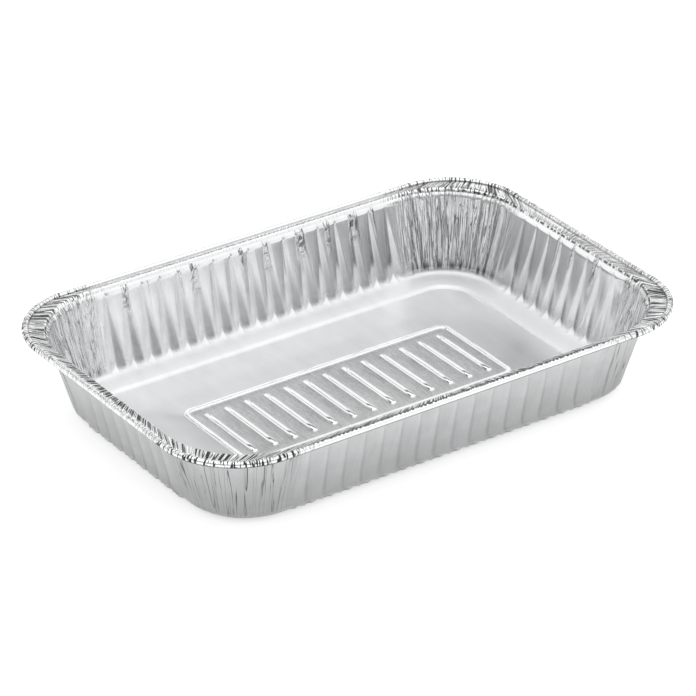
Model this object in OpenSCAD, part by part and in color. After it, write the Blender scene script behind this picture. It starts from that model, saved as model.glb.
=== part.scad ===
// Shallow rectangular roasting pan, drawn in one piece from thin aluminium foil.
// The origin is on the table under the middle of the floor, +X runs along the
// long side and +Z up. The sheet is one closed skin: its upper and lower faces
// are swept round the pan as rings that share one set of stations.

/* [Overall size] */
// Length over the rolled rim
pan_length = 324; // [270:1:386]
// Width over the rolled rim
pan_width = 219; // [185:1:262]
// Height from the table to the top of the rolled rim
pan_height = 51.5; // [40:0.5:64]
// Corner radius of the rolled rim, on its outside
rim_corner_r = 46; // [38:0.5:56]
// Thickness of the sheet
foil_t = 0.3; // [0.2:0.05:0.45]

/* [Rolled rim] */
// Diameter of the rolled bead
bead_d = 4; // [3:0.1:5]
// Height of the bead's top over the flange
bead_rise = 1.6; // [1:0.1:2]
// Width of the flat flange beside the bead, along the long sides
flange_w = 2.6; // [2:0.1:5]
// Width of the flat flange beside the bead, along the short sides
flange_end_w = 4.5; // [3:0.1:7]
// How far round the sheet is rolled, in degrees from the flange
roll_angle = 280; // [230:1:335]

/* [Walls] */
// Outward lean of the walls, in mm per mm of height
wall_lean = 0.3; // [0.2:0.01:0.4]
// Corner radius of the walls where they meet the ledge
base_corner_r = 34; // [28:0.5:41]
// Height of the bevelled edge between wall and flange
edge_h = 2; // [1:0.1:3]
// Width of that bevelled edge
edge_w = 1.5; // [0.8:0.1:2.5]

/* [Flutes] */
// Spacing of the flutes
flute_pitch = 11.8; // [9.5:0.1:14.5]
// Depth of the grooves between the flutes, at the foot
flute_depth = 2; // [1.4:0.05:2.5]
// Depth of the grooves at the top of the wall
flute_top_depth = 0.3; // [0.2:0.05:0.5]
// Width of a flute's flat face at the foot, where the grooves are widest
face_w = 1.9; // [1:0.1:3]
// Width of a groove at the top of the wall, where it has almost run out
groove_top_w = 2.1; // [1:0.1:3.5]
// Height over which the flutes run out, under the bevelled edge
flute_fade = 4; // [2:0.5:8]
// Plain wall left between the last flute and the corner, at least
flute_end_gap = 8.5; // [6:0.5:11]

/* [Corner gathers] */
// Gathered folds in each corner
gather_folds = 14; // [10:1:18]
// Height of a gathered fold at the top of the wall
gather_depth = 0.7; // [0.4:0.05:1]
// Height of a gathered fold at the foot
gather_foot_depth = 0.35; // [0.2:0.05:0.6]
// Height of the pleats that run on over the flange
pleat_height = 0.3; // [0.1:0.05:0.5]

/* [Foot, ledge and floor] */
// Height of the foot between two flutes, over the ledge
foot_peak = 5.8; // [4.5:0.1:7]
// Height of the foot under a flute and in the corners, over the ledge
foot_low = 2; // [1.6:0.1:2.6]
// Width of the foot, from the wall's lower edge to the flat ledge
foot_w = 6; // [4.5:0.1:7.5]
// Where the foot bends most: how far in from the wall's lower edge
heel_in = 1.2; // [0.8:0.05:1.6]
// Where the foot bends most: how high over the ledge
heel_h = 0.45; // [0.3:0.05:0.6]
// Width of foot and ledge together, from the wall to the step
ledge_w = 14.3; // [11:0.1:17]
// Depth of the step down to the floor panel
step_h = 1.6; // [1:0.1:2]
// Width of the sloping step
step_w = 1.6; // [1:0.1:2]

/* [Floor beads] */
// Length of the pressed frame, along its middle line
frame_length = 175; // [145:1:208]
// Width of the pressed frame, along its middle line
frame_width = 65; // [54:1:77]
// Corner radius of the pressed frame
frame_corner_r = 5; // [3.5:0.5:7]
// Spacing of the cross ribs inside the frame
rib_pitch = 13; // [10:0.5:16]
// Plain floor left between the ribs and the frame, at least
rib_gap = 5; // [3:0.5:8]
// Width of a pressed bead at its foot
press_w = 4; // [3:0.1:5]
// Height of a pressed bead over the floor
press_h = 1.1; // [0.7:0.1:1.4]

/* [Hidden] */

foil_colour = [0.84, 0.85, 0.86];
// Intervals of plain wall beside each corner arc that carry gathers too
gap_steps = 3;
gather_steps = 2 * gather_folds;
arc_steps = gather_steps - 2 * gap_steps;
// Steps round the outside and the inside of the rolled bead
roll_steps = 8;
curl_steps = 6;
// Share of a pressed bead's width that its top keeps
press_top = 0.45;
cut_below = 0.1;

// Levels, from the table up
ledge_z = step_h + foil_t;
flange_z = pan_height - bead_rise;
edge_z = flange_z - edge_h;
flute_top_z = edge_z - flute_fade;

// Corner radii of the walls: all share one centre in each corner
flute_top_r = base_corner_r + wall_lean * (flute_top_z - ledge_z);
edge_r = base_corner_r + wall_lean * (edge_z - ledge_z);
flange_r = edge_r + edge_w;
core_x = pan_length / 2 - bead_d - flange_end_w - flange_r;
core_y = pan_width / 2 - bead_d - flange_w - flange_r;

// The rim has its own corner centres, a little further out
rim_core_x = pan_length / 2 - rim_corner_r;
rim_core_y = pan_width / 2 - rim_corner_r;
bead_r = bead_d / 2;
bead_mid_r = rim_corner_r - bead_r;
bead_mid_z = pan_height - bead_r;
curl_r = bead_r - foil_t;
roll_start = 180 - asin((bead_r - bead_rise) / bead_r);
curl_start = 180 - asin((bead_r - bead_rise - foil_t) / curl_r);
roll_end = roll_start - roll_angle;

// Where the lower face of the sheet lies from its upper face, outward and down
wall_out = foil_t * sqrt(1 + wall_lean * wall_lean);
foot_down = 0.4 * foil_t;
foot_out = wall_out - wall_lean * foot_down;
heel_out = 0.6 * foil_t;
heel_down = 0.8 * foil_t;
bend_out = 0.3 * foil_t;

function flutes(core) = floor(2 * (core - flute_end_gap) / flute_pitch);
function flute_span(core) = flutes(core) * flute_pitch / 2;

// Share of the gathers at one station of a corner: folds alternate in and out,
// are uneven as in hand-gathered foil, and die away at both ends
function gather_at(j, q) =
    let (side = j % 2 == 0 ? 1 : -1, ends = min(1, j / gap_steps, (gather_steps - j) / gap_steps))
    side * ends * (0.65 + 0.35 * sin(97 * j + 40 * q));

// A station is [core point, outward direction, groove share, gather share, grade, slide].
// The groove share is 0 on a flute's face and in the corners, and 1 in the middle of a
// groove. Grade 0 stations are used by the fluted rings only, grade 1 by the corners' folds
// too, and grade 2 by every ring. A face's edge stands at the middle of a groove and slides
// along by half the groove's width, which shrinks up the wall.
function corner_stations(q) =
    let (
        sx = q == 0 || q == 3 ? 1 : -1,
        sy = q < 2 ? 1 : -1,
        first = q % 2 == 0 ? core_y : core_x,
        last = q % 2 == 0 ? core_x : core_y,
        first_gap = first - flute_span(first),
        last_gap = last - flute_span(last)
    )
    [for (j = [0:gather_steps])
        let (
            turn = min(max((j - gap_steps) / arc_steps, 0), 1),
            before = first_gap * max(1 - j / gap_steps, 0),
            after = last_gap * max((j - gap_steps - arc_steps) / gap_steps, 0),
            a = 90 * (q + turn),
            b = 90 * q
        )
        [
            [sx * core_x + before * sin(b) - after * sin(b + 90),
             sy * core_y - before * cos(b) + after * cos(b + 90)],
            [cos(a), sin(a)],
            j == 0 || j == gather_steps ? 1 : 0,
            gather_at(j, q),
            j % 2 == 0 ? 2 : 1,
            0
        ]];

// Stations of the flutes on the side that follows corner q: each groove's middle, and
// the two edges of each face
function side_stations(q) =
    let (
        core = q % 2 == 0 ? core_x : core_y,
        across = q % 2 == 0 ? core_y : core_x,
        span = flute_span(core),
        n = [cos(90 * (q + 1)), sin(90 * (q + 1))],
        t = [-n[1], n[0]]
    )
    [for (i = [0:flutes(core) - 1])
        let (
            here = across * n + (i * flute_pitch - span) * t,
            next = here + flute_pitch * t
        )
        each concat(
            i > 0 ? [[here, n, 1, 0, 0, 0]] : [],
            [[here, n, 0, 0, 0, 1], [next, n, 0, 0, 0, -1]]
        )];

stations = [for (q = [0:3]) each concat(corner_stations(q), side_stations(q))];
// The stations that the rings of each grade use
used = [for (g = [0:2]) [for (s = [0:len(stations) - 1]) if (stations[s][4] >= g) s]];

// A ring is [grade, on the rim, corner radius, height, half width of its grooves, groove
// depth, gather depth, peak, pleat]
function wall_ring(r, z, half_groove, flute = 0, gather = 0, peak = 0) =
    [0, false, r, z, half_groove, flute, gather, peak, 0];
function plain_ring(r, z, pleat = 0) = [1, false, r, z, 0, 0, 0, 0, pleat];
function rim_ring(a, r, pleat = 0) =
    [pleat > 0 ? 1 : 2, true, bead_mid_r + r * cos(a), bead_mid_z + r * sin(a), 0, 0, 0, 0, pleat];

foot_r = base_corner_r + wall_lean * foot_low;
foot_z = ledge_z + foot_low;
foot_peak_lift = foot_peak - foot_low;
groove_foot = (flute_pitch - face_w) / 2;
groove_top = groove_top_w / 2;
panel_r = base_corner_r - ledge_w - step_w;

upper_rings = [
    plain_ring(panel_r, foil_t),
    plain_ring(base_corner_r - ledge_w, ledge_z),
    plain_ring(base_corner_r - foot_w, ledge_z),
    wall_ring(base_corner_r - heel_in, ledge_z + heel_h, groove_foot),
    wall_ring(foot_r, foot_z, groove_foot, flute_depth, gather_foot_depth, foot_peak_lift),
    wall_ring(flute_top_r, flute_top_z, groove_top, flute_top_depth, gather_depth),
    wall_ring(edge_r, edge_z, groove_top, 0, gather_depth / 2),
    plain_ring(flange_r, flange_z, pleat_height)
];
bead_rings = [for (k = [0:roll_steps])
    rim_ring(roll_start - roll_angle * k / roll_steps, bead_r, k == 0 ? pleat_height / 2 : 0)];
curl_rings = [for (k = [0:curl_steps])
    rim_ring(roll_end + (curl_start - roll_end) * k / curl_steps, curl_r,
        k == curl_steps ? pleat_height / 2 : 0)];
lower_rings = [
    plain_ring(flange_r + bend_out, flange_z - foil_t, pleat_height),
    wall_ring(edge_r + wall_out, edge_z, groove_top, 0, gather_depth / 2),
    wall_ring(flute_top_r + wall_out, flute_top_z, groove_top, flute_top_depth, gather_depth),
    wall_ring(foot_r + foot_out, foot_z - foot_down, groove_foot, flute_depth, gather_foot_depth,
        foot_peak_lift),
    wall_ring(base_corner_r - heel_in + heel_out, ledge_z + heel_h - heel_down, groove_foot),
    plain_ring(base_corner_r - foot_w, ledge_z - foil_t),
    plain_ring(base_corner_r - ledge_w + bend_out, ledge_z - foil_t),
    plain_ring(panel_r + bend_out, 0)
];
rings = concat(upper_rings, bead_rings, curl_rings, lower_rings);

function ring_size(i) = len(used[rings[i][0]]);
function running(i, total = 0, k = 0) = k == i ? total : running(i, total + ring_size(k), k + 1);
ring_start = [for (i = [0:len(rings) - 1]) running(i)];

function ring_point(ring, s) =
    let (
        kx = ring[1] ? rim_core_x / core_x : 1,
        ky = ring[1] ? rim_core_y / core_y : 1,
        lift = ring[7] * s[2],
        slide = ring[4] * s[5],
        r = ring[2] + ring[5] * s[2] + ring[6] * s[3] + wall_lean * lift
    )
    [
        s[0][0] * kx + s[1][0] * r - s[1][1] * slide,
        s[0][1] * ky + s[1][1] * r + s[1][0] * slide,
        ring[3] + ring[8] * s[3] + lift
    ];

points = [for (ring = rings) each [for (s = used[ring[0]]) ring_point(ring, stations[s])]];

// Triangles between two rings of one grade
function even_strip(a, b, n) =
    [for (s = [0:n - 1])
        let (t = (s + 1) % n)
        each [[a + s, a + t, b + t], [a + s, b + t, b + s]]];

// Triangles between a ring of many stations and one of few. Each stretch of the first
// fans out from both ends of one edge of the second, and meets in the middle.
function fan_strip(many, few, grade_many, grade_few, many_first) =
    let (n = len(used[grade_many]), m = len(used[grade_few]))
    [for (k = [0:m - 1])
        let (
            from = search(used[grade_few][k], used[grade_many])[0],
            to = k + 1 < m ? search(used[grade_few][k + 1], used[grade_many])[0] : n,
            mid = floor((from + to) / 2),
            p = few + k,
            q = few + (k + 1) % m
        )
        each concat(
            [for (i = [from:1:to - 1])
                let (d = many + i, e = many + (i + 1) % n)
                many_first ? [d, e, i < mid ? p : q] : [e, d, i < mid ? p : q]],
            [many_first ? [many + mid % n, q, p] : [many + mid % n, p, q]]
        )];

function strip(i) =
    let (a = ring_start[i], b = ring_start[i + 1], ga = rings[i][0], gb = rings[i + 1][0])
    ga == gb ? even_strip(a, b, ring_size(i))
        : ga < gb ? fan_strip(a, b, ga, gb, true)
        : fan_strip(b, a, gb, ga, false);

last_ring = len(rings) - 1;
faces = concat(
    [[for (s = [ring_size(0) - 1:-1:0]) s]],
    [for (i = [0:last_ring - 1]) each strip(i)],
    [[for (s = [0:ring_size(last_ring) - 1]) ring_start[last_ring] + s]]
);

module sheet() {
    polyhedron(points = points, faces = faces, convexity = 10);
}

module round_slab(length, width, r, z) {
    translate([0, 0, z])
        linear_extrude(height = 0.01)
            offset(r = r, $fn = 20)
                square([length - 2 * r, width - 2 * r], center = true);
}

// A bead pressed up round the frame line, w wide at z and narrower at the top h
module frame_bead(w, z, h) {
    top_w = press_top * w;
    difference() {
        hull() {
            round_slab(frame_length + w, frame_width + w, frame_corner_r + w / 2, z);
            round_slab(frame_length + top_w, frame_width + top_w, frame_corner_r + top_w / 2, h);
        }
        hull() {
            round_slab(frame_length - w, frame_width - w, frame_corner_r - w / 2, z - cut_below);
            round_slab(frame_length - w, frame_width - w, frame_corner_r - w / 2, z);
            round_slab(frame_length - top_w, frame_width - top_w, frame_corner_r - top_w / 2, h + cut_below);
        }
    }
}

// The ribs lie across the pan, as many as the frame takes
module cross_ribs(w, z, h) {
    room = frame_length - 2 * press_w - 2 * rib_gap;
    count = floor(room / rib_pitch) + 1;
    end_y = frame_width / 2 - press_w - rib_gap;
    for (i = [0:count - 1]) {
        hull() {
            for (y = [-end_y, end_y]) {
                translate([(i - (count - 1) / 2) * rib_pitch, y, z])
                    cylinder(h = h - z, d1 = w, d2 = press_top * w, $fn = 8);
            }
        }
    }
}

// Beads are hollow underneath, as the die leaves them
module floor_beads(w, z, h) {
    frame_bead(w, z, h);
    cross_ribs(w, z, h);
}

module foil_pan() {
    color(foil_colour)
        difference() {
            union() {
                sheet();
                floor_beads(press_w, foil_t / 2, foil_t + press_h);
            }
            floor_beads(press_w - 2.5 * foil_t, -cut_below, press_h);
        }
}

foil_pan();
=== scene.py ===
import math

import bpy
import numpy as np
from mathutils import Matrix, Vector


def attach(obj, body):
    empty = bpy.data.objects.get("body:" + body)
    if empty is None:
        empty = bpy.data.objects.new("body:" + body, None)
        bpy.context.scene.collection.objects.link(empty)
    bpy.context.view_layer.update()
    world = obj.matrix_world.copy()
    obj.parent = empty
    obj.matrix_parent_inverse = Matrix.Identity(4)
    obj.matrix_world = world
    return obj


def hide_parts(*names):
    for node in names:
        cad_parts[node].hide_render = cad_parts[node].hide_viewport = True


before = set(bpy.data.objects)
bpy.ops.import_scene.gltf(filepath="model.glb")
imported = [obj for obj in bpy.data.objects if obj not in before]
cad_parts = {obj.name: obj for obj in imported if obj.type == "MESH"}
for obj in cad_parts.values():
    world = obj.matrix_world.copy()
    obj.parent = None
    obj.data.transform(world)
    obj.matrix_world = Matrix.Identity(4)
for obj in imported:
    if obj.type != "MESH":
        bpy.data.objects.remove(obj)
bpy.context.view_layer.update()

# The camera stands over the near left corner, as in the photograph, a little over two
# metres from the pan.
CAMERA_AT = (-1.1200, -1.6038, 1.1031)
CAMERA_AIM = Vector((0.5015, 0.7187, -0.4816))
SENSOR_W = 36
LENS = 211.2
SIGHT = 20
bpy.ops.object.camera_add(location=CAMERA_AT)
camera = bpy.context.active_object
camera.name = "camera"
camera.rotation_euler = CAMERA_AIM.to_track_quat("-Z", "Y").to_euler()
camera.data.sensor_width = SENSOR_W
camera.data.lens = LENS
camera.data.clip_end = SIGHT
bpy.context.scene.camera = camera

# The foil pan is one sheet of aluminium foil about a tenth of a millimetre thick. A die
# draws it into floor, ledge, fluted walls and flange, the spare metal gathers in the
# corners, and its edge is rolled outward into a bead. Sizes are in millimetres.
MM = 0.001
RIM = (324, 219, 51.5)
RIM_R = 46
RIM_CORE = np.array([RIM[0] / 2 - RIM_R, RIM[1] / 2 - RIM_R])
BEAD_RISE = 1.6
FLANGE_Z = RIM[2] - BEAD_RISE
EDGE_Z = FLANGE_Z - 2
# The wall: its core is the four points that the corners turn about
CORE = np.array([104.2, 53.6])
WALL_R = 34
WALL_LEAN = 0.3
FLUTE_PITCH = 11.8
FLUTES = (16, 7)
FLUTE_TOP_Z = EDGE_Z - 4
FLUTE_FOOT = 2
FLUTE_TOP = 0.3
GROOVE_FOOT = 0.42
GROOVE_TOP = 0.09
# The flank of a flute swells a little, and a crease comes to a soft edge
FLANK_SWELL = 0.12
CREASE_EDGE = 1.3


def blend(a, b, x):
    t = np.clip((x - a) / (b - a), 0, 1)
    return t * t * (3 - 2 * t)


class Round:
    """Stations round the pan, corner and side in turn. Each has a point on the core of the
    corners, an outward direction, its share of a flute and its share of a corner."""

    def __init__(self, corner_steps, gap_steps, flute_places):
        rows = []
        spans = np.array(FLUTES) * FLUTE_PITCH / 2
        gaps = CORE - spans
        arc_steps = corner_steps - 2 * gap_steps
        for quarter in range(4):
            # Quarters 0 and 2 end in a long side, 1 and 3 in a short one
            short = quarter % 2
            corner_x = CORE[0] * (1 if quarter in (0, 3) else -1)
            corner_y = CORE[1] * (1 if quarter < 2 else -1)
            first_gap, last_gap = gaps[1 - short], gaps[short]
            start = math.radians(90 * quarter)
            for j in range(corner_steps + 1):
                turned = min(max((j - gap_steps) / arc_steps, 0), 1)
                a = math.radians(90 * (quarter + turned))
                before = first_gap * max(1 - j / gap_steps, 0)
                after = last_gap * max((j - gap_steps - arc_steps) / gap_steps, 0)
                corner = min(1, j / gap_steps, (corner_steps - j) / gap_steps)
                away = min(j, corner_steps - j) / gap_steps * min(first_gap, last_gap)
                rows.append((corner_x + before * math.sin(start) - after * math.cos(start),
                             corner_y - before * math.cos(start) - after * math.sin(start),
                             math.cos(a), math.sin(a), corner, 0, 0, 0, away))
            across = CORE[1 - short]
            end = math.radians(90 * (quarter + 1))
            for cell in range(FLUTES[short]):
                for k, (still, slide) in enumerate(flute_places):
                    if cell == 0 and k == 0:
                        continue
                    along = -spans[short] + FLUTE_PITCH * (cell + still)
                    rows.append((across * math.cos(end) - along * math.sin(end),
                                 across * math.sin(end) + along * math.cos(end),
                                 math.cos(end), math.sin(end), 0, 1, still, slide, 0))
        rows = np.array(rows)
        self.count = len(rows)
        self.core = rows[:, 0:2]
        self.out = rows[:, 2:4]
        self.along = np.column_stack([-rows[:, 3], rows[:, 2]])
        self.corner, self.fluted, self.still, self.slide, self.away = rows[:, 4:9].T
        line = self.core * RIM_CORE / CORE + self.out * RIM_R
        steps = np.linalg.norm(np.roll(line, -1, axis=0) - line, axis=1)
        self.run = np.concatenate([[0], np.cumsum(steps)[:-1]])
        self.girth = steps.sum()
        self.rings = []

    def groove(self, place):
        """Share of a groove at every station: 1 in its middle, none on the faces beside it"""
        u = self.still + self.slide * place
        near = np.where(self.fluted > 0, np.minimum(u, 1 - u), self.away / FLUTE_PITCH)
        reach = np.clip(near / place, 0, 1)
        return 1 - reach + FLANK_SWELL * np.sin(np.pi * reach)

    def crease(self, creases, across):
        """Height of a set of creases at every station, at a share of the way across"""
        middle, half_width, size, drift = creases.T[:, None, :]
        off = self.run[:, None] - middle - drift * across
        off = np.abs((off + self.girth / 2) % self.girth - self.girth / 2) / half_width
        return (np.clip(1 - off, 0, None) ** CREASE_EDGE * size).sum(axis=1)

    def ring(self, r, z, core=CORE, place=GROOVE_TOP):
        """One ring of the sheet, at a radius from the corners' core and a height"""
        r = np.broadcast_to(np.asarray(r, float), (self.count,))
        z = np.broadcast_to(np.asarray(z, float), (self.count,))
        flat = self.core * core / CORE + self.out * r[:, None]
        flat = flat + self.along * (self.slide * place * FLUTE_PITCH)[:, None]
        self.rings.append(np.column_stack([flat, z]))

    def draw(self, name, side=None):
        """A flat blank whose lines are drawn to the rings, and joined round into a band"""
        steps = (self.count, len(self.rings) - 1)
        band, (at_station, at_ring) = flat_blank(name, *steps)
        set_points(band, np.array(self.rings)[at_ring, at_station % self.count])
        # The band's own map: metres round the rim, and rings across it or sides of a groove
        corners = np.zeros(len(band.data.loops), int)
        band.data.loops.foreach_get("vertex_index", corners)
        length = np.append(self.run, self.girth)
        across = at_ring if side is None else side[at_station % self.count]
        place = np.column_stack([length[at_station[corners]], across[corners]]) * MM
        band.data.uv_layers[0].data.foreach_set("uv", place.ravel())
        bpy.ops.object.mode_set(mode="EDIT")
        bpy.ops.mesh.select_all(action="SELECT")
        bpy.ops.mesh.remove_doubles(threshold=1e-7)
        bpy.ops.object.mode_set(mode="OBJECT")
        return band


def points_of(piece):
    """The places of a piece's points, in metres"""
    points = np.zeros(len(piece.data.vertices) * 3)
    piece.data.vertices.foreach_get("co", points)
    return points.reshape(-1, 3)


def set_points(piece, points):
    """Moves a piece's points to places given in millimetres"""
    piece.data.vertices.foreach_set("co", (points * MM).ravel())


def flat_blank(name, steps_x, steps_y):
    """A flat square blank in steps, and for each of its points the lines that it lies on"""
    bpy.ops.object.select_all(action="DESELECT")
    bpy.ops.mesh.primitive_grid_add(x_subdivisions=steps_x, y_subdivisions=steps_y, size=1)
    blank = bpy.context.active_object
    blank.name = name
    lines = np.rint((points_of(blank)[:, 0:2] + 0.5) * (steps_x, steps_y)).astype(int)
    return blank, lines.T


chance = np.random.default_rng(11)


def crease_set(like, gap_corner, gap_side, width, drift):
    """Creases round the rim: middle, half width, size with its sign, drift across the sheet"""
    found = []
    place = 0.0
    while place < like.girth - 1:
        near = like.corner[np.argmin(np.abs(like.run - place))]
        gap = gap_corner if near > 0.5 else gap_side
        found.append((place, width * chance.uniform(0.7, 1.4) * gap,
                      chance.uniform(0.35, 1) * (1 if len(found) % 2 else -1),
                      drift * chance.normal()))
        place += gap * chance.uniform(0.65, 1.35)
    return np.array(found)


# Lines of a flute: its place along the flute, and how it slides as the groove widens
FLUTE_PLACES = ((0, 0), (0, 0.08), (0, 0.18), (0, 0.35), (0, 0.62), (-0.02, 1), (0.02, 1), (0.5, 0),
                (0.98, -1), (1.02, -1), (1, -0.62), (1, -0.35), (1, -0.18), (1, -0.08))
wall = Round(corner_steps=104, gap_steps=12, flute_places=FLUTE_PLACES)
wall_folds = crease_set(wall, gap_corner=4.6, gap_side=30, width=0.62, drift=3.0)
fine_folds = crease_set(wall, gap_corner=2.9, gap_side=30, width=0.60, drift=5.0)
wall_corner = blend(0.1, 0.8, wall.corner)
waves = [(chance.uniform(0.01, 0.035, 2) * chance.choice([-1, 1], 2), chance.uniform(0, 6.3))
         for _ in range(7)]
SAG = 0.10


def uneven(x, y):
    """Slow unevenness of thin sheet; where it sags it lies on the table"""
    sag = sum(np.sin(2 * np.pi * (k[0] * x + k[1] * y) + p) for k, p in waves) / 3
    return SAG * (sag - 0.4 + np.hypot(sag + 0.4, 0.3)) / 2


# A pressed bead, at shares of the way out from its middle: a flat top, a flank and a foot
PRESS_W = 4
PRESS_H = 1.1
PRESS_PLACES = (0.5, 0.56, 0.62, 0.92, 0.97, 1)
PRESS_HEIGHTS = (1, 0.985, 0.9, 0.08, 0.01, 0)
PRESS_LINES = [-s for s in reversed(PRESS_PLACES)] + list(PRESS_PLACES)
FLOOR_Z = 0.3


def pressed_bead(across):
    return FLOOR_Z + PRESS_H * np.interp(np.abs(across), PRESS_PLACES, PRESS_HEIGHTS)


# Floor, from the pressed frame outwards, then the step up to the ledge, with a faint echo
# of the flutes
FRAME_CORE = np.array([82.5, 27.5])
FRAME_R = 5
LEDGE_Z = 1.9
LEDGE_W = 14.3
STEP_W = 1.6
STEP_LINE = ((-0.5, 0), (0.05, 0.08), (0.5, 0.5), (0.95, 0.92), (1.5, 1))
ECHO = 0.3
for s in PRESS_LINES:
    wall.ring(FRAME_R + PRESS_W / 2 * s, pressed_bead(s), FRAME_CORE)
panel_r = WALL_R - LEDGE_W - STEP_W
flat_from = FRAME_R + PRESS_W / 2
flat_to = panel_r - 1
for share in (0.35, 0.72):
    wall.ring(flat_from + (flat_to - flat_from) * share, FLOOR_Z,
              FRAME_CORE + (CORE - FRAME_CORE) * share)
groove = wall.groove(GROOVE_FOOT)
echo = ECHO * np.clip(groove, 0, 1)
for across, rise in STEP_LINE:
    wall.ring(panel_r + STEP_W * across + echo * rise * (1 - rise) * 4,
              FLOOR_Z + (LEDGE_Z - FLOOR_Z) * rise)

# Ledge, rounded foot and the scalloped line where the flutes begin: low on a flute, higher
# in a corner, and highest at a groove
FOOT_W = 6
FOOT_FLUTE = 1
FOOT_CORNER = 2
FOOT_GROOVE = 5.8
FOOT_CUSP = 5
HEEL_W, HEEL_H = 1.2, 0.45
HEEL_LINE = ((0.45, 0.07), (0.8, 0.45), (1, 1))
FOLD_FOOT, FOLD_TOP = 0.25, 0.6
foot_h = FOOT_FLUTE + (FOOT_CORNER - FOOT_FLUTE) * blend(0.1, 0.6, wall.corner)
foot_h = foot_h + (FOOT_GROOVE - foot_h) * np.clip(groove, 0, 1) ** FOOT_CUSP
foot_r = WALL_R + WALL_LEAN * foot_h + FLUTE_FOOT * groove
foot_r = foot_r + FOLD_FOOT * wall.crease(wall_folds, 0) * wall_corner
wall.ring(WALL_R - FOOT_W, LEDGE_Z, place=GROOVE_FOOT)
for share, rise in HEEL_LINE:
    wall.ring(WALL_R - FOOT_W + (FOOT_W - HEEL_W) * share, LEDGE_Z + HEEL_H * rise,
              place=GROOVE_FOOT)
heel_r = WALL_R - HEEL_W
for share in (0.35, 0.7, 1):
    bend = share + 0.10 * math.sin(math.pi * share)
    wall.ring(heel_r + (foot_r - heel_r) * bend, LEDGE_Z + HEEL_H + (foot_h - HEEL_H) * share,
              place=GROOVE_FOOT)

# Fluted walls, with folds that drift and cross in the corners. They are held in a little
# under the rim, where the wall turns into the edge in a soft brow.
FINE_FOOT, FINE_TOP = 0.10, 0.26
for share, held in ((0.12, 0), (0.26, 0), (0.4, 0), (0.54, 0), (0.68, 0), (0.84, 0.2), (1, 0.7)):
    h = foot_h + (FLUTE_TOP_Z - LEDGE_Z - foot_h) * share
    place = GROOVE_FOOT + (GROOVE_TOP - GROOVE_FOOT) * share
    depth = FLUTE_FOOT + (FLUTE_TOP - FLUTE_FOOT) * share
    folds = wall.crease(wall_folds, share) * (FOLD_FOOT + (FOLD_TOP - FOLD_FOOT) * share)
    folds = folds + wall.crease(fine_folds, share) * (FINE_FOOT + (FINE_TOP - FINE_FOOT) * share)
    r = WALL_R + WALL_LEAN * h - held + depth * wall.groove(place) + folds * wall_corner
    wall.ring(r, LEDGE_Z + h, place=place)
top_folds = wall.crease(wall_folds, 1) * 0.4 + wall.crease(fine_folds, 1) * 0.2
top_folds = top_folds * wall_corner
top_groove = wall.groove(GROOVE_TOP)
for share, held in ((0.3, 0.85), (0.6, 0.75), (0.8, 0.45), (1, 0)):
    z = FLUTE_TOP_Z + (EDGE_Z - FLUTE_TOP_Z) * share
    r = WALL_R + WALL_LEAN * (z - LEDGE_Z) - held
    wall.ring(r + FLUTE_TOP * (1 - share) * top_groove + top_folds * (1 - 0.5 * share), z)
pan = wall.draw("pan_sheet", np.clip(3 * wall.slide, -1, 1) * (groove > 0))
sheet_points = points_of(pan) / MM
settled = 1 - blend(LEDGE_Z + 1, LEDGE_Z + 6, sheet_points[:, 2])
sheet_points[:, 2] += settled * uneven(sheet_points[:, 0], sheet_points[:, 1])
set_points(pan, sheet_points)

# The floor inside the frame is a second blank with the cross ribs pressed up in it
RIB_PITCH = 13
RIBS = 13
RIB_END = 23.5
PAST_RIBS_X, PAST_RIBS_Y = 3, 3.5
half_x = (RIBS - 1) / 2 * RIB_PITCH + PAST_RIBS_X
half_y = RIB_END + PAST_RIBS_Y
lines_x = [-half_x]
for k in range(RIBS):
    rib_x = (k - (RIBS - 1) / 2) * RIB_PITCH
    lines_x += [rib_x + PRESS_W / 2 * s for s in PRESS_LINES]
    if k < RIBS - 1:
        lines_x.append(rib_x + RIB_PITCH / 2)
lines_x.append(half_x)
end_lines = [RIB_END + PRESS_W / 2 * s for s in (0,) + PRESS_PLACES] + [half_y]
rib_lines = [-16, -8, 0, 8, 16]
lines_y = [-y for y in reversed(end_lines)] + rib_lines + end_lines
floor_panel, (at_x, at_y) = flat_blank("floor_panel", len(lines_x) - 1, len(lines_y) - 1)
floor_x, floor_y = np.array(lines_x)[at_x], np.array(lines_y)[at_y]
from_rib = floor_x - np.rint(floor_x / RIB_PITCH) * RIB_PITCH
past_end = np.clip(np.abs(floor_y) - RIB_END, 0, None)
floor_z = pressed_bead(np.hypot(from_rib, past_end) / (PRESS_W / 2)) + uneven(floor_x, floor_y)
set_points(floor_panel, np.column_stack([floor_x, floor_y, floor_z]))

# The two blanks are one sheet: the open edges low in the pan are joined
JOIN_UNDER = 3
bpy.ops.object.select_all(action="DESELECT")
floor_panel.select_set(True)
pan.select_set(True)
bpy.context.view_layer.objects.active = pan
bpy.ops.object.join()
bpy.ops.object.mode_set(mode="EDIT")
bpy.ops.mesh.select_mode(type="EDGE")
bpy.ops.mesh.select_all(action="DESELECT")
bpy.ops.mesh.select_non_manifold()
bpy.ops.object.mode_set(mode="OBJECT")
for edge in pan.data.edges:
    if edge.select:
        edge.select = pan.data.vertices[edge.vertices[0]].co.z < JOIN_UNDER * MM
bpy.ops.object.mode_set(mode="EDIT")
bpy.ops.mesh.fill(use_beauty=True)
bpy.ops.object.mode_set(mode="OBJECT")

# The gauge is drawn at a quarter of a millimetre, where a real pan has about a tenth
FOIL = 0.25
SMOOTH_UNDER = 50


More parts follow.
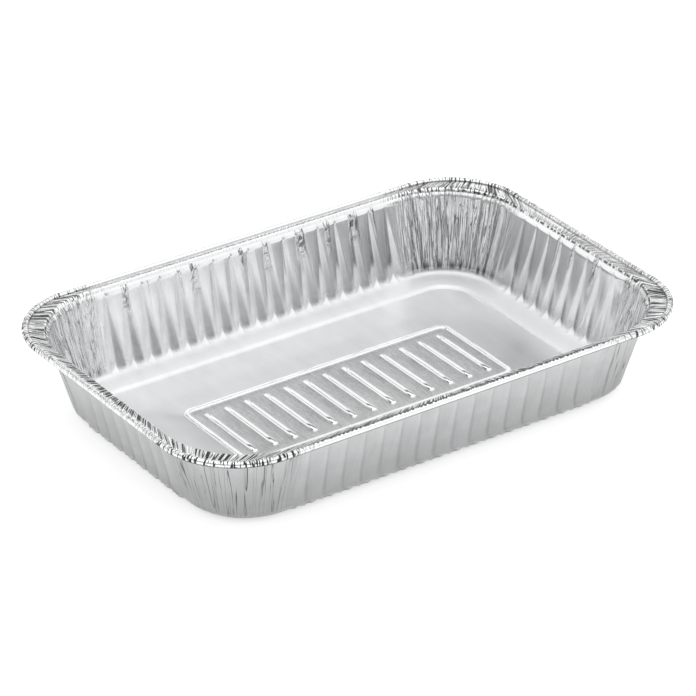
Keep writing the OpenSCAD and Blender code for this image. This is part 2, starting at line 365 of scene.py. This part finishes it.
def give_gauge(sheet):
    """Turns the sheet's faces up and inward, and gives it its thickness below them"""
    bpy.ops.object.select_all(action="DESELECT")
    sheet.select_set(True)
    bpy.context.view_layer.objects.active = sheet
    bpy.ops.object.mode_set(mode="EDIT")
    bpy.ops.mesh.select_all(action="SELECT")
    bpy.ops.mesh.normals_make_consistent(inside=False)
    bpy.ops.object.mode_set(mode="OBJECT")
    if sum(f.normal.z * f.area for f in sheet.data.polygons) < 0:
        bpy.ops.object.mode_set(mode="EDIT")
        bpy.ops.mesh.flip_normals()
        bpy.ops.object.mode_set(mode="OBJECT")
    bpy.ops.object.modifier_add(type="SOLIDIFY")
    gauge = sheet.modifiers[-1]
    gauge.thickness = FOIL * MM
    gauge.offset = -1
    gauge.material_offset = 1
    gauge.material_offset_rim = 1
    bpy.ops.object.modifier_apply(modifier=gauge.name)
    bpy.ops.object.shade_smooth_by_angle(angle=math.radians(SMOOTH_UNDER))


# The upper side takes the first finish, the lower side and the cut edge the second
for finish in ("drawn_foil", "dull_side"):
    pan.data.materials.append(bpy.data.materials.new(finish))
give_gauge(pan)


class Shade:
    """A shader socket that can be used in sums; any other node comes from Shade.node"""
    tree = None

    def __init__(self, socket):
        self.socket = socket

    @classmethod
    def begin(cls, owner, empty=False):
        """The nodes that follow are those of this material or world"""
        owner.use_nodes = True
        cls.tree = owner.node_tree
        if empty:
            cls.tree.nodes.clear()

    @classmethod
    def feed(cls, made, **sockets):
        """Values and links for a node's sockets, each by its name, or by i and its number"""
        for name, value in sockets.items():
            at = int(name[1:]) if name[0] == "i" and name[1:].isdigit() else name.replace("_", " ")
            if isinstance(value, Shade):
                cls.tree.links.new(value.socket, made.inputs[at])
            else:
                made.inputs[at].default_value = value

    @classmethod
    def node(cls, kind, settings=None, output=0, **sockets):
        made = cls.tree.nodes.new(kind)
        for name, value in (settings or {}).items():
            setattr(made, name, value)
        cls.feed(made, **sockets)
        return cls(made.outputs[output]) if made.outputs else made

    def math(self, operation, other=None):
        given = {} if other is None else {"i1": other}
        return Shade.node("ShaderNodeMath", {"operation": operation}, i0=self, **given)

    def __add__(self, other):
        return self.math("ADD", other)

    def __sub__(self, other):
        return self.math("SUBTRACT", other)

    def __rsub__(self, other):
        return Shade.node("ShaderNodeMath", {"operation": "SUBTRACT"}, i0=other, i1=self)

    def __mul__(self, other):
        return self.math("MULTIPLY", other)

    __radd__ = __add__
    __rmul__ = __mul__

    def __abs__(self):
        return self.math("ABSOLUTE")

    def over(self, other):
        """The larger of the two"""
        return self.math("MAXIMUM", other)

    def rise(self, low, high):
        """0 under low, 1 over high, smooth between"""
        return Shade.node("ShaderNodeMapRange", {"interpolation_type": "SMOOTHSTEP", "clamp": True},
                          Value=self, From_Min=low, From_Max=high)

    def band(self, low, full, fading, high):
        """1 from full to fading, 0 under low and over high, smooth between"""
        return self.rise(low, full) * (1 - self.rise(fading, high))

    def parts(self):
        """The three parts of a vector"""
        first = Shade.node("ShaderNodeSeparateXYZ", Vector=self)
        return first, Shade(first.socket.node.outputs[1]), Shade(first.socket.node.outputs[2])

    def noise(self, scale, detail, distortion=0, dimensions="3D"):
        """A noise pattern, read at this place"""
        return Shade.node("ShaderNodeTexNoise", {"noise_dimensions": dimensions}, Vector=self,
                          Scale=scale, Detail=detail, Distortion=distortion)


def bare_foil(foil, bright, rough, height):
    """Bare aluminium of a cool grey, from its brightness, roughness and relief in millimetres"""
    colour = Shade.node("ShaderNodeCombineColor", Red=bright * 0.985, Green=bright * 0.992,
                        Blue=bright)
    bump = Shade.node("ShaderNodeBump", Strength=1, Distance=MM, Height=height)
    Shade.feed(foil.node_tree.nodes["Principled BSDF"], Base_Color=colour, Metallic=1,
               Roughness=rough, Normal=bump)


def drawn_foil(foil, outside):
    """The drawn sheet's finish: brighter in the pan, duller outside, with painted light and shade
    """
    Shade.begin(foil)
    spot = Shade.node("ShaderNodeTexCoord", output="Object")
    x, y, z = spot.parts()
    x, y = abs(x), abs(y)
    round_wall, groove_side, _ = Shade.node("ShaderNodeTexCoord", output="UV").parts()

    # Where each finish lies, in metres from the middle of the floor
    frame_x, frame_y = (FRAME_CORE + FRAME_R) * MM
    on_wall = z.rise(0.0030, 0.0060)
    in_corner = x.rise(0.096, 0.112) * y.rise(0.046, 0.062) * on_wall
    short_side = x.rise(0.125, 0.135)
    in_frame = (1 - x.rise(frame_x - MM, frame_x + MM)) * (1 - y.rise(frame_y - MM, frame_y + MM))
    in_frame = in_frame * (1 - on_wall)
    raised = z.rise(0.0006, 0.0009) * (1 - on_wall)
    pressed = raised * (1 - x.rise(0.092, 0.094)) * (1 - y.rise(0.037, 0.039))
    ledge = raised - pressed
    flat_floor = in_frame * (1 - pressed)

    # Folds up the wall: broad soft ones, fine ones, and thin lines of painted shade where they
    # close
    pace = round_wall * 1000
    lift = Shade.node("ShaderNodeCombineXYZ", X=pace, Y=z * (30 if outside else 70))
    sway = lift.noise(scale=0.22, detail=2, dimensions="2D")
    fine = lift.noise(scale=0.30 if outside else 0.48, detail=2, distortion=0.4, dimensions="2D")
    closed_fold_shade = 1 - abs(fine - 0.5).rise(0.0, 0.022 if outside else 0.03)
    folds = sway * (0.5 if outside else 2.8) + fine * (0.2 if outside else 1.2) - closed_fold_shade * 0.25

    # The mill's brush marks run across the pan, and the die leaves soft clouds
    mill_way = (1, 0.12, 1)
    milled = Shade.node("ShaderNodeVectorMath", {"operation": "MULTIPLY"}, i0=spot, i1=mill_way)
    brush = milled.noise(scale=900, detail=3)
    streak = milled.noise(scale=110, detail=2)
    grain = spot.noise(scale=1500, detail=2)
    cloud = spot.noise(scale=22, detail=3)

    height = in_corner * folds + on_wall * (1 - in_corner) * (sway * 0.10 + fine * 0.03)
    height = height + (1 - on_wall) * (brush * 0.03 + grain * 0.02 + cloud * 0.1)
    # Walls lighter inside, and darker outside, for the dull side and as painted shade
    bright = 0.79 + on_wall * (-0.17 if outside else 0.14)
    # Floor in the frame darker; rib tops and ledge painted lighter, as painted highlights
    bright = bright - flat_floor * 0.19 + pressed * 0.19 + ledge * 0.17
    bright = bright + (cloud - 0.5) * 0.12 + (brush - 0.5) * 0.06 + (streak - 0.5) * 0.12
    bright = bright + (brush * 0.3 + grain * 0.5 - 0.4) * flat_floor
    # Painted shade in the corners
    bright = bright * (1 - in_corner * 0.05)
    rough = 0.30 + (cloud - 0.5) * 0.08 - pressed * 0.20 + ledge * 0.28

    if outside:
        # Painted shade: the dark lines of the closed folds fade towards the foot
        closed_fold_shade = closed_fold_shade * (0.4 + z.rise(0.008, 0.024) * 0.6)
        # Painted light: the short sides are a little lighter
        bright = bright * (1 - in_corner * closed_fold_shade * 0.85) * (1 + short_side * 0.04)
        # Painted shade: the outside darkens downwards, most of all under the floor
        bright = bright * (0.84 + z * 6.2) * (0.5 + z.rise(0.0022, 0.0046) * 0.5)
        rough = rough + z.rise(0.006, 0.014) * 0.05
    else:
        # Pinches under the rim, where the wall has buckled: bumped, with painted shade in them
        along = Shade.node("ShaderNodeCombineXYZ", X=pace)
        spots = along.noise(scale=0.085, detail=1, dimensions="2D")
        pinch = spots.rise(0.60, 0.66) * z.rise(0.026, 0.042) * (1 - in_corner)
        slanted = Shade.node("ShaderNodeCombineXYZ", X=round_wall * 1250 + z * 450, Y=z * 420)
        writhe = slanted.noise(scale=0.5, detail=1, distortion=0.8, dimensions="2D")
        height = height + pinch * writhe * 0.9
        bright = bright * (1 - pinch * writhe.rise(0.53, 0.59) * 0.70)
        # Painted shade in the folds at the corners' foot, and in closed folds
        steps = along.noise(scale=0.20, detail=1, dimensions="2D")
        tuck_shade = in_corner * steps.rise(0.50, 0.57) * (1 - z.rise(0.0060, 0.0115))
        bright = bright * (1 - tuck_shade * 0.7) * (1 - in_corner * closed_fold_shade * 0.55)
        # Painted shade on one flank of each groove and low on the wall; painted light higher up
        flank = groove_side * 1000
        flank_shade = flank.math("MINIMUM", 0) * (0.32 - z.rise(0.010, 0.040) * 0.28)
        shade_by_height = (1 - z.rise(0.004, 0.026)) * (0.05 + short_side * 0.15)
        shade_by_height = shade_by_height - z.rise(0.026, 0.036) * 0.05
        bright = bright * (1 + on_wall * (flank_shade - shade_by_height))
        rough = rough - in_corner * 0.04 - z.rise(0.006, 0.014) * 0.16
    bare_foil(foil, bright, rough, height)


drawn_foil(pan.data.materials[0], outside=False)
drawn_foil(pan.data.materials[1], outside=True)
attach(pan, "root")
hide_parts("foil_pan")

# The rolled rim carries on from the wall, of the same sheet: a bevelled edge, a narrow
# flange and the bead. The machine that folds it over leaves it crimped and pleated all
# round, most of all at the corners.
BEAD_R = 2
EDGE_W = 1.5
OVERLAP = 0.05
TUCKED_IN = 0.02
ROLL = 280
ROLL_STEPS = 14
FLUTE_STEPS = 21
PLEAT_SIDE, PLEAT_CORNER = 0.10, 0.24
CRIMP_SIDE, CRIMP_CORNER = 0.05, 0.09
BROW_LINE = ((0.25, 0.42, 0.2), (0.5, 0.73, 0.5), (0.8, 0.94, 0.9), (1.15, 1.0, 1))
even_places = [(k / FLUTE_STEPS, 0) for k in range(FLUTE_STEPS)]
rim = Round(corner_steps=280, gap_steps=32, flute_places=even_places)
pleats = crease_set(rim, gap_corner=3.2, gap_side=6.2, width=0.30, drift=1.6)
crimps = crease_set(rim, gap_corner=1.5, gap_side=2.6, width=0.42, drift=0.8)
rim_corner = blend(0.1, 0.8, rim.corner)
pleat_size = PLEAT_SIDE + (PLEAT_CORNER - PLEAT_SIDE) * rim_corner
crimp_size = CRIMP_SIDE + (CRIMP_CORNER - CRIMP_SIDE) * rim_corner

# The edge takes over half of the wall's folds at its foot, and has lost them at its top
round_both = rim.run / rim.girth * wall.girth
edge_folds = 0.5 * np.interp(round_both, np.append(wall.run, wall.girth),
                             np.append(top_folds, top_folds[0]))
edge_r = WALL_R + WALL_LEAN * (EDGE_Z - LEDGE_Z)
rim.ring(edge_r - OVERLAP * WALL_LEAN + edge_folds - TUCKED_IN, EDGE_Z - OVERLAP)
for out, rise, share in BROW_LINE:
    lift = share * (pleat_size * rim.crease(pleats, 0) + crimp_size * rim.crease(crimps, 0))
    rim.ring(edge_r + EDGE_W * out + edge_folds * (1 - share),
             EDGE_Z + (FLANGE_Z - EDGE_Z) * rise + lift)
inner = rim.rings[-1][:, 0:2].copy()
outer = rim.core * RIM_CORE / CORE + rim.out * (RIM_R - 2 * BEAD_R)
for share in (0.3, 0.6, 0.85):
    flat = inner + (outer - inner) * share
    z = FLANGE_Z + pleat_size * rim.crease(pleats, share) + crimp_size * rim.crease(crimps, share)
    rim.rings.append(np.column_stack([flat, z]))

# The bead: pleats run out over its first four lines, and crimps only press in
PLEAT_LINES = 4
JOINT_LINES = 3
JOINT_IN = 0.16
BEAD_IN = 0.05
roll_from = 180 - math.degrees(math.asin((BEAD_R - BEAD_RISE) / BEAD_R))
for k in range(ROLL_STEPS + 1):
    turned = k / ROLL_STEPS
    a = math.radians(roll_from - ROLL * turned)
    dent = rim.crease(crimps, 1 + turned) * crimp_size
    dent = dent + rim.crease(pleats, 1) * pleat_size * max(0, 1 - k / PLEAT_LINES)
    if k < JOINT_LINES:
        dent = dent * min(1, k / JOINT_LINES + 0.3) - JOINT_IN
    else:
        dent = np.minimum(dent - BEAD_IN, 0)
    rim.ring(RIM_R - BEAD_R + (BEAD_R + dent) * math.cos(a),
             RIM[2] - BEAD_R + (BEAD_R + dent) * math.sin(a), RIM_CORE)
bead = rim.draw("rolled_rim")
give_gauge(bead)

# The rim's finish is brighter and harder than the pan's. Its map counts the rings across
# it: 0.001 to 0.004 on the edge, 0.005 to 0.007 on the flange, 0.008 to 0.022 on the bead.
# AWAY is the way across the pan from the near left corner to the far right one.
AWAY = (0.572, 0.820)
rim_foil = bpy.data.materials.new("rim_foil")
Shade.begin(rim_foil)
rim_x, rim_y, _ = Shade.node("ShaderNodeTexCoord", output="Object").parts()
round_rim, rings, _ = Shade.node("ShaderNodeTexCoord", output="UV").parts()
gathered = abs(rim_x).rise(0.086, 0.112) * abs(rim_y).rise(0.036, 0.062)
short_rim = abs(rim_x).rise(0.125, 0.145)
near_rim = 1 - (rim_x * AWAY[0] + rim_y * AWAY[1]).rise(-0.06, 0.0)
busy = gathered.over(short_rim * 0.8).over(0.16)

# Painted shade in crimps and pleats that have closed to thin lines
rim_pace = round_rim * 1000
rim_lift = Shade.node("ShaderNodeCombineXYZ", X=rim_pace, Y=rings * 110)
fine_crimps = rim_lift.noise(scale=0.85, detail=1, distortion=0.3, dimensions="2D")
thick_pleats = rim_lift.noise(scale=0.8, detail=1, dimensions="2D")
crease_shade = fine_crimps.rise(0.54, 0.61) * (0.5 + near_rim.over(gathered * 0.8) * 0.45)
crease_shade = crease_shade.over(thick_pleats.rise(0.64, 0.69) * gathered * 0.95)
crease_shade = crease_shade * (1 - rings.rise(0.0078, 0.0088) * (1 - gathered) * near_rim * 0.75)

# Painted shade and dark reflections in broken lines: where the edge bends, where the flange
# runs into the bead, on the bead's crest, and where it turns down
rim_along = Shade.node("ShaderNodeCombineXYZ", X=rim_pace)
breaks = rim_along.noise(scale=0.26, detail=2, dimensions="2D")
ticks = rim_along.noise(scale=0.75, detail=1, dimensions="2D").rise(0.44, 0.52)
inner_bend_shade = rings.band(0.0002, 0.0010, 0.0016, 0.0024) * breaks.rise(0.46, 0.53) * short_rim
edge_line_reflection = (rings - near_rim * 0.0009).band(0.0027, 0.0031, 0.0054, 0.0060) * ticks
edge_line_reflection = edge_line_reflection * (0.45 + near_rim * 0.55) * (1 - gathered * 0.65)
joint_shade = rings.band(0.0076, 0.0082, 0.0088, 0.0094) * (0.3 + busy * 0.3)
joint_shade = joint_shade * (1 - near_rim * (1 - gathered) * 0.9)
turn_down_reflection = rings.band(0.0130, 0.0134, 0.0143, 0.0147) * breaks.rise(0.40, 0.46)
turn_down_reflection = turn_down_reflection * (1 - near_rim) * (1 - rim_x.rise(-0.11, -0.06) * 0.4)
rung_reflections = rings.band(0.0112, 0.0116, 0.0133, 0.0137) * ticks
crest_reflection = rings.band(0.0092, 0.0098, 0.0122, 0.0126).over(rung_reflections)
crest_reflection = crest_reflection * (1 - rim_y.rise(-0.105, -0.098)) * (1 - gathered * 0.7)
painted_dark_lines = inner_bend_shade.over(edge_line_reflection).over(joint_shade).over(turn_down_reflection).over(crest_reflection)
# Painted shade under the bead
under = rings.rise(0.0172, 0.0180)
rim_bright = 0.97 * (1 - crease_shade * busy) * (1 - painted_dark_lines * 0.88) * (1 - under * 0.92)
bare_foil(rim_foil, rim_bright, 0.14, busy * (fine_crimps * 0.2 + thick_pleats * 0.2))
bead.data.materials.clear()
bead.data.materials.append(rim_foil)
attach(bead, "root")

# The studio floor is a wide pale sweep of matt board, a hair under the pan. To the camera
# and in the foil it looks nearly white.
SWEEP_W = 12
SWEEP_Z = -0.0002
BOARD = (0.82, 0.82, 0.82, 1)
WHITE = (1, 1, 1, 1)
bpy.ops.object.select_all(action="DESELECT")
bpy.ops.mesh.primitive_plane_add(size=SWEEP_W, location=(0, 0, SWEEP_Z))
table = bpy.context.active_object
table.name = "studio_floor"
paint = bpy.data.materials.new("studio_white")
Shade.begin(paint, empty=True)
to_camera = Shade.node("ShaderNodeLightPath", output="Is Camera Ray")
in_gloss = Shade.node("ShaderNodeLightPath", output="Is Glossy Ray")
matt = Shade.node("ShaderNodeBsdfDiffuse", Color=BOARD)
seen = to_camera * 0.55 + in_gloss * 0.31
white = Shade.node("ShaderNodeEmission", Color=WHITE, Strength=seen)
both = Shade.node("ShaderNodeAddShader", i0=matt, i1=white)
Shade.node("ShaderNodeOutputMaterial", Surface=both)
table.data.materials.append(paint)

# Soft studio light from all round: a pale horizon, a darker band over it, and a wide
# soft light overhead. It is darker on the side of the camera.
world = bpy.data.worlds.new("studio")
bpy.context.scene.world = world
Shade.begin(world, empty=True)
sky_x, sky_y, sky_z = Shade.node("ShaderNodeTexCoord", output="Generated").parts()
beyond = (sky_x * AWAY[0] + sky_y * AWAY[1]).rise(-0.35, 0.25)
overhead = sky_z.rise(0.65, 0.73)
dark_band = sky_z.rise(0.55, 0.59) * (1 - overhead) * sky_y.rise(0.2, 0.5)
near_low = sky_z.band(0.02, 0.12, 0.42, 0.60) * (1 - beyond) * (1 - sky_x.rise(0.28, 0.45) * 0.9)
tone = 1 + overhead * 0.2 - dark_band * 0.95 - near_low * 0.62
glow = Shade.node("ShaderNodeBackground", Color=WHITE, Strength=tone.over(0.05))
Shade.node("ShaderNodeOutputWorld", Surface=glow)

bpy.context.scene.view_settings.view_transform = "Standard"
